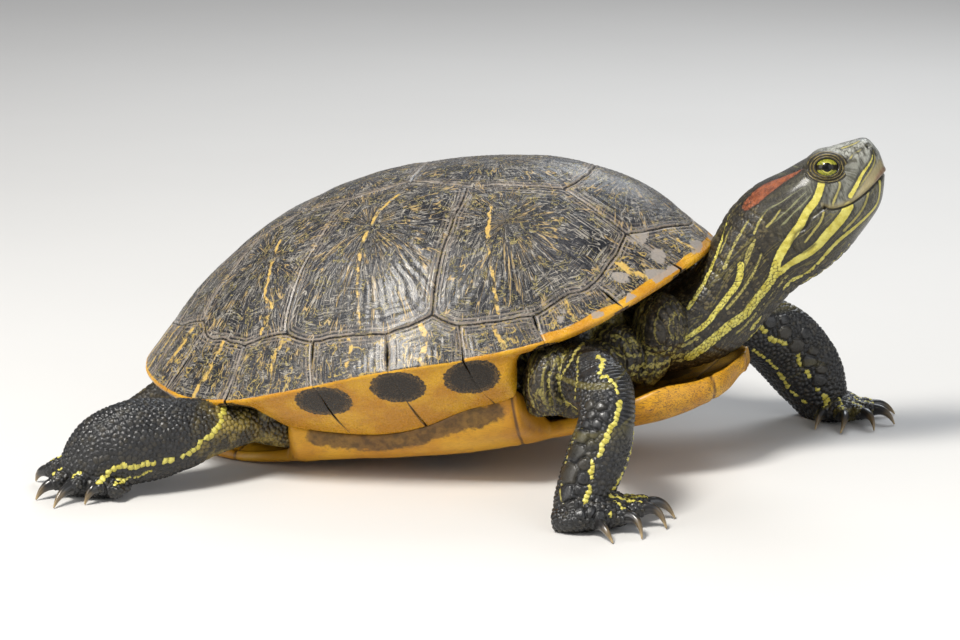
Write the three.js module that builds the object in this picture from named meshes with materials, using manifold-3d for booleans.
// A red-eared slider (Trachemys scripta elegans), adult, life size, propped on its front
// legs with its head raised.  Millimetres, +X towards the head, +Y to the turtle's left,
// +Z up, floor at z = 0, origin at the middle of the floor under the whole animal.
//
// The shell is drawn in a frame of its own, level with its own underside, and then pitched
// nose up.  The flesh is drawn in the standing turtle's frame.  Pieces that touch are parted
// by a cut GAP wide.

import * as THREE from 'three';
import { mergeVertices } from 'three/addons/utils/BufferGeometryUtils.js';
import Module from 'manifold-3d';

const wasm = await Module();
wasm.setup();

// ---------------------------------------------------------------- driving dimensions

const GAP = 0.3;

const SHELL = {
  front: 112.5,            // nuchal edge ahead of the shell's centre
  rear: 110,               // hind edge behind it
  halfWidth: 82,
  widestAt: -5.5,
  roundFront: 1.85,        // superellipse exponents of the outline
  roundRear: 2.36,
  height: 100,             // crown above the underside
  crownAt: 12.5,
  pitch: THREE.MathUtils.degToRad(9.5),
  lift: 9,                 // of the shell frame's origin above the floor
  wall: 5,
  lip: 2.2,                // thickness of the margin's edge
  sectors: 52,
};

// Height of the shell's rim above its underside, by angle from the head end in degrees.
const RIM_HEIGHT = [[0, 57.4], [45, 42], [90, 40.6], [135, 34.5], [158, 40.5], [180, 43.5]];

// The dome's section is a cubic from crown to rim: how far it stays level, how far it
// keeps the rim's slope (both as a share of the radius), and that slope in degrees.
const SECTION = {
  front: { level: 0.67, tail: 0.30, slope: 48 },
  side: { level: 0.60, tail: 0.42, slope: 52 },
  rear: { level: 0.61, tail: 0.19, slope: 41 },
};

// The bridge joins the margin to the underside between these places along the shell.
const BRIDGE = { rearTop: -72, rearFull: -44, frontFull: 41, frontTop: 52 };
const WING = { rear: -52, front: 49 };   // where the plastron's side wings end
const MARGIN_DEPTH = 13;   // how far the margin is turned under beyond the bridge

// Along the shell: seam between margin and underside, as distance out and height.
const SEAM = [[-72, 58, 27], [-47, 60, 20], [-30, 60, 15.5], [-12, 60, 12.5], [5, 61, 13.5],
  [23, 63, 18.5], [38, 63, 20.5], [50, 63, 24]];

const PLASTRON = { wall: 5, rear: -98, front: 118 };
// Along the shell: half width of the lobes, height of the bottom, and of the raised edge.
const LOBES = [[-98, 9, 6.5, 4.5], [-93, 24, 5.6, 4.5], [-83, 35, 4.0, 4.5], [-70, 41, 2.0, 4.5],
  [-52, 45, 1.0, 5.5], [-38, 47, 1.2, 6], [-8, 48, -0.7, 6], [16, 48, -1.9, 6], [36, 47, -1.4, 6.5],
  [55, 44, -1.2, 7], [79, 42.5, -0.8, 10], [92, 39, 0.2, 11.5], [104, 31, 2.2, 9],
  [112, 22, 4.6, 7.6], [118, 9, 8.2, 5.5]];

// Head and neck, from the snout back: top point (x, z), bottom point (x, z), half width.
const HEAD_AND_NECK = [
  [161.6, 120.6, 164.2, 113.5, 3.4],
  [156.9, 125.2, 163.9, 106.4, 7.4],
  [150.6, 123.9, 162.4, 99.6, 11.2],
  [143.4, 121.3, 157.2, 91.2, 14.4],
  [135.4, 117.1, 150.2, 81.9, 17.2],
  [126.8, 111.8, 141.6, 74.0, 18.8],
  [117.2, 106.4, 132.2, 67.4, 18.2],
  [107.8, 97.0, 123.6, 57.6, 17.6],
  [102.0, 86.6, 116.8, 48.8, 18.4],
  [96.0, 76.0, 108.6, 42.2, 21.0],
  [88.0, 68.0, 97.0, 37.6, 25.0],
  [76.0, 63.0, 80.0, 34.0, 28.0],
];
const HEAD_ENDS_AT = 6;    // the row where the neck takes over

const EYE = { radius: 4.9, x: 143.6, y: 10.8, z: 114.4 };
const BROW = { inward: 1.9, up: 1.2, long: 8.6, wide: 6.7, high: 6.0 };
// The head leans to its left: fall in z for each mm of y, growing from `starts` to `full` along x.
const ROLL = { slope: 0.105, starts: 100, full: 128 };
// Outline of the lower jaw seen from the side: mouth line, then down behind the corner.
const JAW = [[170, 113.2], [163.4, 109.6], [157.5, 106.2], [152, 103.4], [147, 101.2],
  [142.4, 101.4], [139.0, 94], [139.5, 84], [144, 70], [175, 70]];

const FLESH = { pocketFront: 27, pocketSide: 13, pocketRear: 19, roofInset: 11, clearance: 2.4,
  sectors: 32 };

// Limbs: root to ankle as x, y, z, half breadth, half thickness. The toes of a foot grow out of
// one point or, on the hind feet, out of one point each.
const LIMBS = {
  front_right: {
    across: [1, 0, 0.15],
    bones: [[46, -28, 42, 11, 13], [56, -46, 43.5, 11, 12], [65, -63, 45, 10.8, 11],
      [72.4, -78, 44.2, 10.2, 10], [74.8, -87, 37.5, 9.8, 9], [73, -91.5, 27, 10.6, 8.8],
      [69.6, -94, 16.5, 10, 8.6], [67, -96, 8.5, 9.4, 8.8], [66.4, -96.6, 3.8, 8.2, 8.4]],
    palm: [[58.5, -99, 3.2, 6.6, 4], [65.5, -98.5, 4.4, 10.8, 5.8], [74, -94.5, 6.2, 11.4, 6.8],
      [81, -91.5, 6, 9.6, 5]],
    palmAcross: [0.35, 1, 0],
    toeRoot: [70, -95.5, 5],
    toes: [[75.6, -106.8, 4.2], [84.6, -101, 5.8], [89.4, -92.6, 6.6], [90, -83.8, 6],
      [84.4, -78.4, 4.6]],
    clawTips: [[81.6, -114.2, 0.4], [90.8, -107.4, 0.4], [97.6, -94, 0.4], [98.8, -81, 0.4],
      [90.6, -70.8, 0.4]],
  },
  front_left: {
    across: [1, 0, 0.6],
    bones: [[54, 36, 42, 13, 12], [80, 45, 44, 13.8, 11.5], [102, 52, 41, 14.6, 10.8],
      [116.5, 57.5, 36.2, 14.6, 10], [125.4, 64, 27.5, 15, 9.6], [132, 67, 17.5, 14.2, 9.2],
      [136.5, 68.5, 9.5, 11.6, 8.6], [139.5, 68.5, 4, 9.6, 7.4]],
    palm: [[131, 72, 3.4, 7.4, 4], [138.5, 70, 4.4, 11, 5.8], [146, 66.5, 4.8, 11.6, 5.6],
      [152, 64, 4.2, 9.8, 3.8]],
    palmAcross: [-0.3, 1, 0],
    toeRoot: [142, 68.5, 4.8],
    toes: [[139.4, 56, 4], [147.8, 53, 4.6], [155.4, 56.8, 4.8], [159, 64, 4.6], [157.6, 73, 4]],
    clawTips: [[137.2, 47, 0.4], [147.4, 43.2, 0.4], [160, 49.6, 0.4], [167.2, 60.6, 0.4],
      [166.2, 76.4, 0.4]],
  },
  hind_right: {
    across: [0.25, 0.2, 1],
    bones: [[-56, -28, 25, 11, 13], [-64, -47, 23, 10.3, 12.5], [-74, -64, 21.4, 10.3, 11.8],
      [-84, -75, 20.4, 13.4, 11.4], [-93, -82, 19.8, 15.2, 11], [-101, -87.2, 19, 15.6, 10.4],
      [-109, -90.6, 16.4, 14, 9.6], [-115.5, -91.5, 12.8, 11.2, 8.4], [-120.5, -91, 9.4, 7.2, 6.9]],
    palm: [[-104, -91, 5, 7.2, 4.8], [-111, -92.6, 5.2, 7.8, 5.2], [-118, -91.8, 4.8, 7.8, 4.8],
      [-123.5, -89, 4, 6.6, 4]],
    palmAcross: [0.12, 1, 0],
    toeRoots: [[-101, -90, 6], [-104, -88, 9], [-110, -89, 11], [-114, -88, 13], [-112, -85, 16]],
    toes: [[-103, -100.6, 3.8], [-109.2, -101.4, 5.2], [-118.2, -102.6, 5.4], [-126.6, -98.6, 5],
      [-134.4, -82, 4.8]],
    clawTips: [null, [-112.4, -104.6, 0.4], [-122, -111, 0.4], [-131.6, -102.4, 0.4],
      [-139.4, -79.4, 0.4]],
  },
  hind_left: {
    across: [0.25, -0.2, 1],
    bones: [[-52, 28, 25, 11, 13], [-58, 48, 23, 10.3, 12.5], [-65, 66, 21.4, 10.3, 11.8],
      [-72, 79.6, 20.4, 13.4, 11.4], [-81.4, 89.6, 19.8, 15.2, 11], [-88.6, 95.9, 19, 15.6, 10.4],
      [-96, 100.4, 16.4, 14, 9.6], [-102.3, 102.2, 12.8, 11.2, 8.4], [-107.3, 102.5, 9.4, 7.2, 6.9]],
    palm: [[-91, 100.1, 5, 7.2, 4.8], [-97.7, 102.7, 5.2, 7.8, 5.2], [-104.7, 102.9, 4.8, 7.8, 4.8],
      [-110.6, 100.9, 4, 6.6, 4]],
    palmAcross: [0.08, -1, 0],
    toeRoots: [[-88.2, 98.6, 6], [-91.4, 97.1, 9], [-97.2, 99, 11], [-101.3, 98.6, 13],
      [-99.8, 95.3, 16]],
    toes: [[-88.6, 109.4, 3.8], [-94.6, 111.1, 5.2], [-103.3, 113.6, 5.4], [-112.2, 110.9, 5],
      [-122.4, 95.6, 4.8]],
    clawTips: [null, [-97.2, 114.8, 0.4], [-105.9, 122.5, 0.4], [-116.6, 115.4, 0.4],
      [-127.6, 93.8, 0.4]],
  },
};
const TOE = { radius: 3.5, tipRadius: 2.7 };
const CLAW = { radius: 1.75, tipRadius: 0.35, arch: 2.4, bendAt: 0.5 };

const TAIL = [[-84, 0, 25, 10, 9], [-100, 0, 21, 8.2, 7.2], [-112, -0.5, 16.5, 5.8, 5.4],
  [-122, -2, 11, 4, 3.8], [-131, -4, 6.4, 2.6, 2.5], [-139, -6, 3, 1.2, 1.2]];

const COLOURS = {
  shell: 0x3c3d40,
  belly: 0xc9923c,
  skin: 0x2c2b22,
  head: 0x4a4a32,
  beak: 0x8d8666,
  iris: 0xa9a64a,
  claw: 0x4b4336,
};

// ---------------------------------------------------------------- small mathematics

const smooth = (from, to, x) => THREE.MathUtils.smoothstep(x, from, to);
const mix = THREE.MathUtils.lerp;
const vector = (list) => new THREE.Vector3(list[0], list[1], list[2]);

/** Catmull-Rom value between b and c, at share s of the way. */
function catmull(a, b, c, d, s) {
  const slopeB = (c - a) / 2;
  const slopeC = (d - b) / 2;
  const s2 = s * s;
  const s3 = s2 * s;
  return (2 * s3 - 3 * s2 + 1) * b + (s3 - 2 * s2 + s) * slopeB
    + (3 * s2 - 2 * s3) * c + (s3 - s2) * slopeC;
}

/** Reads a table of [position, value, ...] rows at a position, with cubic steps. */
function readTable(table, at, column = 1) {
  const last = table.length - 1;
  if (at <= table[0][0]) return table[0][column];
  if (at >= table[last][0]) return table[last][column];
  const i = table.findIndex((row) => row[0] > at) - 1;
  const s = (at - table[i][0]) / (table[i + 1][0] - table[i][0]);
  const slope = (k) => {
    if (k <= 0 || k >= last) return 0;
    return (table[k + 1][column] - table[k - 1][column]) / (table[k + 1][0] - table[k - 1][0]);
  };
  const span = table[i + 1][0] - table[i][0];
  const s2 = s * s;
  const s3 = s2 * s;
  return (2 * s3 - 3 * s2 + 1) * table[i][column] + (s3 - 2 * s2 + s) * slope(i) * span
    + (3 * s2 - 2 * s3) * table[i + 1][column] + (s3 - s2) * slope(i + 1) * span;
}

/** Rows of numbers made finer by a Catmull-Rom curve through them. */
function refine(rows, steps) {
  const row = (i) => rows[Math.max(0, Math.min(rows.length - 1, i))];
  const fine = [];
  for (let i = 0; i < rows.length - 1; i += 1) {
    for (let k = 0; k < steps; k += 1) {
      fine.push(row(i).map((_, c) => catmull(row(i - 1)[c], row(i)[c], row(i + 1)[c],
        row(i + 2)[c], k / steps)));
    }
  }
  fine.push([...rows[rows.length - 1]]);
  return fine;
}

// ---------------------------------------------------------------- closed meshes

function signedVolume(points, triangles) {
  let sum = 0;
  for (let i = 0; i < triangles.length; i += 3) {
    const [a, b, c] = [points[triangles[i]], points[triangles[i + 1]], points[triangles[i + 2]]];
    sum += a.dot(new THREE.Vector3().crossVectors(b, c));
  }
  return sum / 6;
}

/** A closed body from rings of equally many points, with a fan to a point at each end. */
function loft(rings, startTip, endTip) {
  const count = rings[0].length;
  const points = rings.flat();
  const start = points.push(startTip) - 1;
  const end = points.push(endTip) - 1;
  const triangles = [];
  for (let i = 0; i < count; i += 1) {
    const next = (i + 1) % count;
    triangles.push(start, next, i);
    for (let r = 0; r < rings.length - 1; r += 1) {
      const low = r * count;
      triangles.push(low + i, low + next, low + count + i);
      triangles.push(low + next, low + count + next, low + count + i);
    }
    const low = (rings.length - 1) * count;
    triangles.push(end, low + i, low + next);
  }
  if (signedVolume(points, triangles) < 0) {
    for (let i = 0; i < triangles.length; i += 3) {
      [triangles[i], triangles[i + 1]] = [triangles[i + 1], triangles[i]];
    }
  }
  const geometry = new THREE.BufferGeometry().setFromPoints(points);
  geometry.setIndex(triangles);
  return geometry;
}

const centre = (ring) => ring.reduce((sum, p) => sum.add(p), new THREE.Vector3())
  .divideScalar(ring.length);

const loftFlat = (rings) => loft(rings, centre(rings[0]), centre(rings[rings.length - 1]));

/** A limb-like body: rows of x, y, z, half breadth (along across) and half thickness. */
function tube(rows, across, sides) {
  const wide = vector(across).normalize();
  const rings = rows.map((row, i) => {
    const ahead = vector(rows[Math.min(i + 1, rows.length - 1)]);
    const along = ahead.sub(vector(rows[Math.max(i - 1, 0)])).normalize();
    const thick = new THREE.Vector3().crossVectors(along, wide).normalize();
    const broad = new THREE.Vector3().crossVectors(thick, along);
    return Array.from({ length: sides }, (_, k) => {
      const angle = (2 * Math.PI * k) / sides;
      return vector(row).addScaledVector(broad, row[3] * Math.cos(angle))
        .addScaledVector(thick, row[4] * Math.sin(angle));
    });
  });
  return loftFlat(rings);
}

function toSolid(geometry) {
  const bare = geometry.clone();
  bare.deleteAttribute('normal');
  bare.deleteAttribute('uv');
  const merged = mergeVertices(bare, 1e-4);
  return new wasm.Manifold(new wasm.Mesh({
    numProp: 3,
    vertProperties: new Float32Array(merged.attributes.position.array),
    triVerts: new Uint32Array(merged.index.array),
  }));
}

function toGeometry(solid) {
  const { vertProperties, triVerts } = solid.getMesh();
  const geometry = new THREE.BufferGeometry();
  geometry.setAttribute('position', new THREE.BufferAttribute(new Float32Array(vertProperties), 3));
  geometry.setIndex(new THREE.BufferAttribute(new Uint32Array(triVerts), 1));
  return geometry;
}

/** The largest body of a solid that a cut may have left in several. */
const largest = (solid) => solid.decompose().sort((a, b) => b.volume() - a.volume())[0];

const FLOOR_SLAB = toSolid(new THREE.BoxGeometry(600, 600, 40).translate(0, 0, -20));

// ---------------------------------------------------------------- the shell's shape

/** From the shell's own frame to the standing turtle's. */
function stand(point) {
  return point.applyAxisAngle(new THREE.Vector3(0, 1, 0), -SHELL.pitch)
    .add(new THREE.Vector3(0, 0, SHELL.lift));
}

/** Blends front, side and rear values round the shell; at 0 the head end, at PI the tail. */
function around(angle, front, side, rear) {
  const ahead = (1 + Math.cos(angle)) / 2;
  const flank = Math.sin(angle) ** 2;
  return mix(mix(rear, front, ahead), side, flank);
}

/** A point on the shell's outline, seen from above. */
function rimPoint(angle) {
  const ahead = Math.cos(angle) >= 0;
  const reach = ahead ? SHELL.front - SHELL.widestAt : SHELL.rear + SHELL.widestAt;
  const power = ahead ? SHELL.roundFront : SHELL.roundRear;
  const along = Math.abs(Math.cos(angle)) / reach;
  const out = Math.abs(Math.sin(angle)) / SHELL.halfWidth;
  const radius = (along ** power + out ** power) ** (-1 / power);
  const turn = Math.abs(THREE.MathUtils.radToDeg(Math.atan2(Math.sin(angle), Math.cos(angle))));
  return new THREE.Vector3(SHELL.widestAt + radius * Math.cos(angle), radius * Math.sin(angle),
    readTable(RIM_HEIGHT, turn));
}

/** A point on the dome: share 0 is the crown, 1 the rim; shrink draws it further in. */
function domePoint(angle, share, rim, crownHeight) {
  const part = (key) => around(angle, SECTION.front[key], SECTION.side[key], SECTION.rear[key]);
  const slope = THREE.MathUtils.degToRad(part('slope'));
  const reach = Math.hypot(rim.x - SHELL.crownAt, rim.y);
  const level = part('level') * reach;
  const tail = part('tail') * reach;
  const u = 1 - share;
  const weights = [u ** 3, 3 * share * u * u, 3 * share * share * u, share ** 3];
  const radius = weights[1] * level + weights[2] * (reach - tail * Math.cos(slope))
    + weights[3] * reach;
  const height = (weights[0] + weights[1]) * crownHeight
    + weights[2] * (rim.z + tail * Math.sin(slope)) + weights[3] * rim.z;
  const inward = radius / reach;
  return new THREE.Vector3(mix(SHELL.crownAt, rim.x, inward), rim.y * inward, height);
}

/** 1 where the margin goes down to the underside as a bridge, 0 beyond it. */
const bridgeAt = (x) => smooth(BRIDGE.rearTop, BRIDGE.rearFull, x)
  * (1 - smooth(BRIDGE.frontFull, BRIDGE.frontTop, x));

/** A rim point moved in towards the shell's middle and up. */
function inset(rim, inward, up) {
  const reach = Math.hypot(rim.x - SHELL.crownAt, rim.y);
  const share = (reach - inward) / reach;
  return new THREE.Vector3(mix(SHELL.crownAt, rim.x, share), rim.y * share, rim.z + up);
}

/** The carapace with its turned-under margin; grow thickens it by that much all over. */
function carapaceGeometry(grow = 0) {
  const outerShares = [0.14, 0.29, 0.44, 0.58, 0.71, 0.83, 0.92, 1];
  const innerShares = [0.88, 0.68, 0.45, 0.22];
  const columns = Array.from({ length: SHELL.sectors }, (_, k) => {
    const angle = (2 * Math.PI * k) / SHELL.sectors;
    const outline = rimPoint(angle);
    const rim = inset(outline, -grow, 0);
    const bridge = bridgeAt(outline.x);
    const side = Math.sign(outline.y) || 1;
    const seam = new THREE.Vector3(rim.x, side * (readTable(SEAM, outline.x) + grow),
      readTable(SEAM, outline.x, 2) - grow);
    const lip = inset(rim, 1, -SHELL.lip - grow);
    const turned = inset(rim, MARGIN_DEPTH + 2 * grow, 0.6 - SHELL.lip - grow).lerp(seam, bridge);
    const edgeWidth = mix(1.5, SHELL.wall, bridge) + 2 * grow;
    const edge = turned.clone();
    edge.y -= side * Math.min(edgeWidth, Math.abs(edge.y)) * Math.abs(Math.sin(angle));
    edge.x -= edgeWidth * Math.cos(angle) * (1 - bridge);
    edge.z += mix(2.5, 1, bridge) + 2 * grow;
    const shoulder = inset(rim, mix(MARGIN_DEPTH + 2.5, 8.5, bridge) + 2 * grow,
      mix(3.6, 2, bridge) - grow);
    const outer = outerShares.map((share) => domePoint(angle, share, rim, SHELL.height + grow));
    const inner = innerShares.map((share) => domePoint(angle, share, shoulder,
      SHELL.height - SHELL.wall - grow));
    return [...outer, lip, lip.clone().lerp(turned, 0.5), turned, edge, shoulder, ...inner];
  });
  const rings = columns[0].map((_, row) => columns.map((column) => column[row]));
  const crown = (height) => new THREE.Vector3(SHELL.crownAt, 0, height);
  const geometry = loft(rings, crown(SHELL.height + grow), crown(SHELL.height - SHELL.wall - grow));
  return standGeometry(geometry);
}

function standGeometry(geometry) {
  return geometry.rotateY(-SHELL.pitch).translate(0, 0, SHELL.lift);
}

/** One half of a section across the plastron, from the middle of its bottom round its edge. */
function plastronSection(x, grow) {
  const lobe = readTable(LOBES, x);
  const bottom = readTable(LOBES, x, 2) - grow;
  const raised = readTable(LOBES, x, 3);
  const wing = smooth(WING.rear, BRIDGE.rearFull, x)
    * (1 - smooth(BRIDGE.frontFull, WING.front, x));
  const seamOut = readTable(SEAM, x) + grow;
  const seamHeight = readTable(SEAM, x, 2) - 2 * GAP + 2 * grow;
  const thick = PLASTRON.wall + 2 * grow;
  const pair = (loneOut, loneUp, wingOut, wingUp) => [mix(loneOut, wingOut, wing),
    mix(loneUp, wingUp, wing)];
  return [
    [0, bottom],
    [lobe * 0.6, bottom],
    pair(lobe * 0.88, bottom + 0.5, lobe, bottom + 1.2),
    pair(lobe + grow, bottom + raised * 0.45, seamOut - 3, mix(bottom, seamHeight, 0.45)),
    pair(lobe - 1 + grow, bottom + raised + grow, seamOut, seamHeight - 0.4),
    pair(lobe - 3.5, bottom + raised + grow, seamOut - SHELL.wall, seamHeight + 0.6),
    pair((lobe - 3.5) * 0.86, bottom + thick + 0.8, lobe - 1, bottom + thick + 3),
    [(lobe - 3.5) * 0.5, bottom + thick],
    [0, bottom + thick],
  ];
}

function plastronGeometry(stations, grow = 0) {
  const rings = stations.map((x) => {
    const half = plastronSection(x, grow);
    const left = half.map(([out, up]) => new THREE.Vector3(x, out, up));
    const right = half.slice(1, -1).reverse().map(([out, up]) => new THREE.Vector3(x, -out, up));
    return [...left, ...right];
  });
  return standGeometry(loftFlat(rings));
}

const PLASTRON_STATIONS = [PLASTRON.rear, -95.5, -91, -84, -75, -64, -53, -50, -47, BRIDGE.rearFull,
  -34, -22, -10, 4, 18, 30, BRIDGE.frontFull, 43.5, 46, WING.front, 57, 68, 79, 89, 98, 106, 112,
  115.5, PLASTRON.front];

/** The body inside the shell: against its walls under the bridge, drawn back in the pockets. */
function bodyGeometry(grow = 0) {
  const clear = FLESH.clearance - grow;
  const columns = Array.from({ length: FLESH.sectors }, (_, k) => {
    const angle = (2 * Math.PI * k) / FLESH.sectors;
    const outline = rimPoint(angle);
    const bridge = bridgeAt(outline.x);
    const side = Math.sign(outline.y) || 1;
    const pocket = around(angle, FLESH.pocketFront, FLESH.pocketSide, FLESH.pocketRear);
    const wall = inset(outline, pocket - grow, 0);
    const onPlastron = (share, up) => {
      const point = inset(wall, 0, 0).lerp(new THREE.Vector3(SHELL.crownAt, 0, 0), 1 - share);
      point.z = readTable(LOBES, point.x, 2) + PLASTRON.wall + up - grow;
      return point;
    };
    const underBridge = new THREE.Vector3(outline.x,
      side * (readTable(SEAM, outline.x) - SHELL.wall - clear),
      readTable(SEAM, outline.x, 2) + 1 + clear);
    const low = onPlastron(1, 9).lerp(underBridge, bridge);
    const high = inset(outline, mix(pocket - grow, 8.5 + clear, bridge), mix(-5, 2, bridge) + clear);
    const roof = inset(outline, Math.max(pocket, FLESH.roofInset) - grow, 4);
    const crownHeight = SHELL.height - SHELL.wall - clear;
    return [onPlastron(0.4, 1.5), onPlastron(mix(0.85, 0.56, bridge), mix(3, 4.4, bridge)), low,
      low.clone().lerp(high, 0.5), high, domePoint(angle, 0.85, roof, crownHeight),
      domePoint(angle, 0.6, roof, crownHeight), domePoint(angle, 0.3, roof, crownHeight)];
  });
  const rings = columns[0].map((_, row) => columns.map((column) => column[row]));
  const axis = (height) => new THREE.Vector3(SHELL.crownAt, 0, height);
  const floorHeight = readTable(LOBES, SHELL.crownAt, 2) + PLASTRON.wall + 1 - grow;
  return standGeometry(loft(rings, axis(floorHeight), axis(SHELL.height - SHELL.wall - clear)));
}

// ---------------------------------------------------------------- head, neck and eyes

/** Rings of the head and neck: flat-topped in the head, rounder behind. */
function headRings(rows, sides) {
  return rows.map(([topX, topZ, lowX, lowZ, halfWidth]) => {
    const top = new THREE.Vector3(topX, 0, topZ);
    const low = new THREE.Vector3(lowX, 0, lowZ);
    const middle = top.clone().lerp(low, 0.5);
    const up = top.clone().sub(middle);
    return Array.from({ length: sides }, (_, k) => {
      const angle = (2 * Math.PI * k) / sides;
      const across = Math.sign(Math.sin(angle)) * Math.abs(Math.sin(angle)) ** 0.8;
      const rise = Math.sign(Math.cos(angle)) * Math.abs(Math.cos(angle)) ** 0.86;
      return middle.clone().addScaledVector(up, rise)
        .add(new THREE.Vector3(0, halfWidth * across, 0));
    });
  });
}

function prism(outline, dx, dz) {
  const shape = new THREE.Shape(outline.map(([x, z]) => new THREE.Vector2(x + dx, z + dz)));
  const geometry = new THREE.ExtrudeGeometry(shape, { depth: 80, bevelEnabled: false });
  return toSolid(geometry.translate(0, 0, -40).rotateX(Math.PI / 2));
}

/** Leans an upright solid of the head over to the animal's left. */
const leant = (solid) => solid.warp((point) => {
  point[2] -= ROLL.slope * point[1] * smooth(ROLL.starts, ROLL.full, point[0]);
});

const eyeball = (side, grow) => toSolid(new THREE.SphereGeometry(EYE.radius + grow, 10, 6)
  .rotateX(Math.PI / 2).translate(EYE.x, side * EYE.y, EYE.z));

/** The bulge of the lids round an eye. */
const brow = (side) => toSolid(new THREE.SphereGeometry(1, 10, 6).rotateX(Math.PI / 2)
  .scale(BROW.long, BROW.wide, BROW.high)
  .translate(EYE.x, side * (EYE.y - BROW.inward), EYE.z + BROW.up));

function headAndNeck() {
  const rows = refine(HEAD_AND_NECK, 2);
  const split = HEAD_ENDS_AT * 2;
  const nudged = rows.slice(split).map((row) => [...row]);
  nudged[0][0] -= GAP;
  nudged[0][2] -= GAP;
  const whole = toSolid(loftFlat(headRings(rows.slice(0, split + 1), 22))).add(brow(1)).add(brow(-1));
  const sockets = eyeball(1, GAP).add(eyeball(-1, GAP));
  const skull = whole.subtract(sockets);
  return {
    head: leant(largest(skull.subtract(prism(JAW, 0, 0)))),
    lower_jaw: leant(largest(skull.intersect(prism(JAW, 0.25, -GAP)))),
    neck: leant(toSolid(loftFlat(headRings(nudged, 20)))),
  };
}

// ---------------------------------------------------------------- limbs, claws and tail

const rootOfToe = (limb, i) => (limb.toeRoots ? limb.toeRoots[i] : limb.toeRoot);

function limbSolid(limb) {
  const { bones, across, palm, palmAcross, toes } = limb;
  let solid = toSolid(tube(bones, across, 12)).add(toSolid(tube(palm, palmAcross, 12)));
  toes.forEach((toe, i) => {
    const start = vector(rootOfToe(limb, i));
    const end = vector(toe);
    const rows = [0.2, 0.62, 1].map((share) => {
      const at = start.clone().lerp(end, share);
      const radius = mix(TOE.radius, TOE.tipRadius, share);
      return [at.x, at.y, at.z, radius, radius];
    });
    solid = solid.add(toSolid(tube(rows, toeAcross(start, end), 6)));
  });
  return solid;
}

/** A level direction square to a toe, so that its section stays upright. */
const toeAcross = (start, end) => [-(end.y - start.y), end.x - start.x, 0];

/** A hooked claw whose base faces the toe's blunt end across a gap. */
function clawGeometry(toeRoot, toe, tip) {
  const from = vector(toe);
  const way = from.clone().sub(vector(toeRoot)).normalize();
  const base = from.clone().addScaledVector(way, GAP);
  const target = vector(tip);
  const reach = target.distanceTo(base);
  const bend = base.clone().addScaledVector(way, reach * CLAW.bendAt);
  bend.z += CLAW.arch;
  const curve = new THREE.QuadraticBezierCurve3(base, bend, target);
  const rings = [0, 0.35, 0.7, 1].map((share, i) => {
    const at = curve.getPoint(share);
    const along = i === 0 ? way : curve.getTangent(share);
    const wide = new THREE.Vector3(-along.y, along.x, 0).normalize();
    const high = new THREE.Vector3().crossVectors(along, wide).normalize();
    const radius = mix(CLAW.radius, CLAW.tipRadius, share);
    return Array.from({ length: 6 }, (_, k) => {
      const angle = (2 * Math.PI * k) / 6;
      return at.clone().addScaledVector(wide, 0.8 * radius * Math.cos(angle))
        .addScaledVector(high, radius * Math.sin(angle));
    });
  });
  return loftFlat(rings);
}

// ---------------------------------------------------------------- the turtle

const turtle = new THREE.Group();

function addPiece(name, geometry, colour, roughness) {
  geometry.computeVertexNormals();
  const material = new THREE.MeshStandardMaterial({ color: colour, roughness, metalness: 0 });
  const mesh = new THREE.Mesh(geometry, material);
  mesh.name = name;
  turtle.add(mesh);
}

const carapace = toSolid(carapaceGeometry());
const plastron = toSolid(plastronGeometry(PLASTRON_STATIONS)).subtract(FLOOR_SLAB);
// The shell itself and a raised copy go in too, so that its thin edges part cleanly.
const shellCutter = toSolid(carapaceGeometry(GAP)).add(carapace).add(carapace.translate([0, 0, GAP]))
  .add(toSolid(plastronGeometry(PLASTRON_STATIONS, GAP)));
const bodyCutter = toSolid(bodyGeometry(GAP));

const trunk = largest(toSolid(bodyGeometry()).subtract(shellCutter));
const { head, lower_jaw, neck } = headAndNeck();

addPiece('carapace', toGeometry(carapace), COLOURS.shell, 0.35);
addPiece('plastron', toGeometry(plastron), COLOURS.belly, 0.4);
addPiece('trunk', toGeometry(trunk), COLOURS.skin, 0.6);
addPiece('head', toGeometry(head), COLOURS.head, 0.5);
addPiece('lower_jaw', toGeometry(lower_jaw), COLOURS.beak, 0.45);

const neckSolid = largest(neck.subtract(bodyCutter).subtract(shellCutter));
addPiece('neck', toGeometry(neckSolid), COLOURS.skin, 0.6);
addPiece('eye_left', toGeometry(leant(eyeball(1, 0))), COLOURS.iris, 0.1);
addPiece('eye_right', toGeometry(leant(eyeball(-1, 0))), COLOURS.iris, 0.1);

for (const [place, limb] of Object.entries(LIMBS)) {
  const solid = limbSolid(limb).subtract(FLOOR_SLAB).subtract(bodyCutter).subtract(shellCutter);
  addPiece(`leg_${place}`, toGeometry(largest(solid)), COLOURS.skin, 0.55);
  limb.clawTips.forEach((tip, i) => {
    if (!tip) return;
    const claw = clawGeometry(rootOfToe(limb, i), limb.toes[i], tip);
    addPiece(`claw_${place}_${i + 1}`, claw, COLOURS.claw, 0.3);
  });
}

const tail = toSolid(tube(TAIL, [0, 1, 0], 10));
addPiece('tail', toGeometry(largest(tail.subtract(bodyCutter).subtract(shellCutter))),
  COLOURS.skin, 0.55);

// The origin goes to the middle of the floor under the animal.
const box = new THREE.Box3().setFromObject(turtle);
turtle.position.set(-(box.min.x + box.max.x) / 2, -(box.min.y + box.max.y) / 2, 0);

export default turtle;
